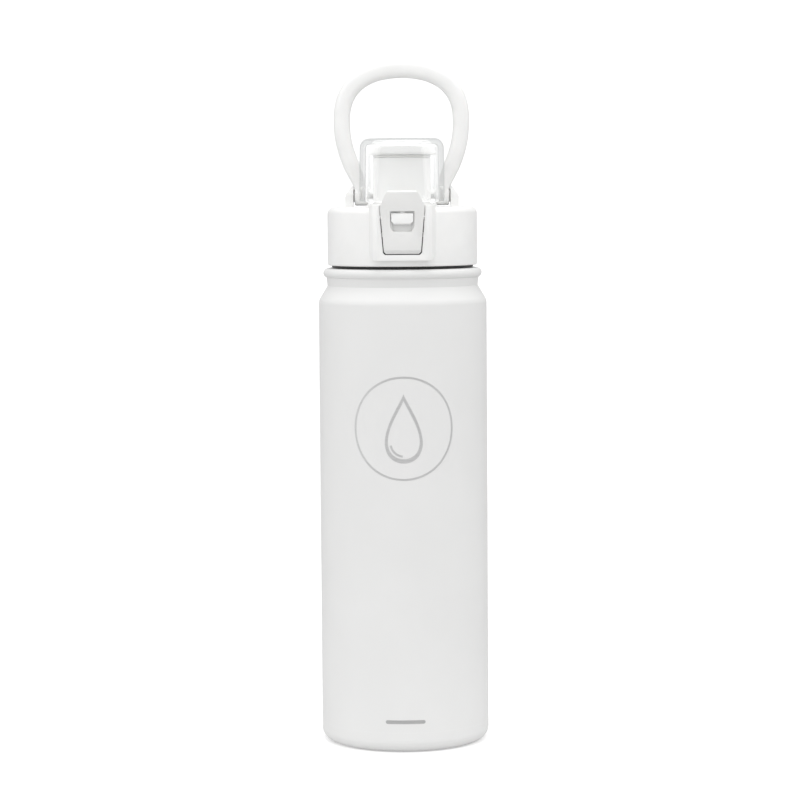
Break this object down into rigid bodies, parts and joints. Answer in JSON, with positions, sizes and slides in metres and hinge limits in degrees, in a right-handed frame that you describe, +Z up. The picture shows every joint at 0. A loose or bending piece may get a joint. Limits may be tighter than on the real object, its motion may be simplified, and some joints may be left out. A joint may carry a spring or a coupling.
{
  "type": "insulated water bottle",
  "caption": "Double-wall vacuum flask with a screw lid, a clear flip-up hood over a drinking spout, a push latch with a slide lock, and a swinging carry loop.",
  "frame": {"origin": "centre of the flat face the bottle stands on, on the body's axis", "axes": "+Z up along the body's axis, -Y towards the latch at the front, +X to the right seen from the front"},
  "size_m": [0.074, 0.074, 0.3013],
  "materials": {
    "white_coat": "satin powder coat, fine texture",
    "steel": "satin stainless steel",
    "polished_steel": "bright drawn pin and wire",
    "white_plastic": "fine satin moulded polypropylene",
    "dark_plastic": "fine satin moulded polypropylene, dark grey",
    "white_seal": "matt silicone",
    "clear_plastic": "clear moulded copolyester, polished",
    "foam": "closed-cell foam",
    "solder": "dull solder"
  },
  "bodies": {
    "bottle": {"outer_shell": "white_coat", "outer_base": "white_coat", "vacuum_end_cap": "steel", "vacuum_seal": "solder", "getter": "steel", "inner_liner": "steel"},
    "lid_carrier": {"lid_gasket": "white_seal"},
    "lid": {"lid_core": "dark_plastic", "lid_foam": "foam", "lid_core_plate": "dark_plastic", "lid_cover": "white_plastic", "spout": "white_plastic", "spout_gasket": "white_seal", "hinge_pin": "white_plastic", "loop_washers": "white_seal", "hood_spring": "polished_steel", "latch_pins": "polished_steel", "latch_spring": "steel"},
    "hood": {"hood": "clear_plastic", "seal_carrier": "white_plastic", "spout_plug": "white_seal"},
    "latch": {"latch": "white_plastic"},
    "lock": {"lock_slide": "white_plastic"},
    "loop": {"carry_loop": "white_plastic"}
  },
  "joints": [
    {"name": "lid_lift", "type": "slide", "parent": "bottle", "child": "lid_carrier", "axis": [0, 0, 1], "range_m": [0, 0.0063]},
    {"name": "lid_twist", "type": "hinge", "parent": "lid_carrier", "child": "lid", "pos_m": [0, 0, 0.2107], "axis": [0, 0, 1], "range_deg": [0, 450]},
    {"name": "hood_open", "type": "hinge", "parent": "lid", "child": "hood", "pos_m": [0, 0.019, 0.24098], "axis": [-1, 0, 0], "range_deg": [0, 105], "deforming": ["hood_spring"]},
    {"name": "latch_press", "type": "hinge", "parent": "lid", "child": "latch", "pos_m": [0, -0.0322, 0.23148], "axis": [1, 0, 0], "range_deg": [0, 6.5], "stiffness_Nm_per_rad": 0.02, "deforming": ["latch_spring"]},
    {"name": "lock_travel", "type": "slide", "parent": "latch", "child": "lock", "axis": [0, 0, 1], "range_m": [-0.0027, 0]},
    {"name": "loop_swing", "type": "hinge", "parent": "lid", "child": "loop", "pos_m": [0, 0.019, 0.24098], "axis": [-1, 0, 0], "range_deg": [-75, 90]}
  ],
  "couplings": [
    {"joint": "lid_lift", "follows": "lid_twist", "m_per_rad": 0.00079577}
  ]
}
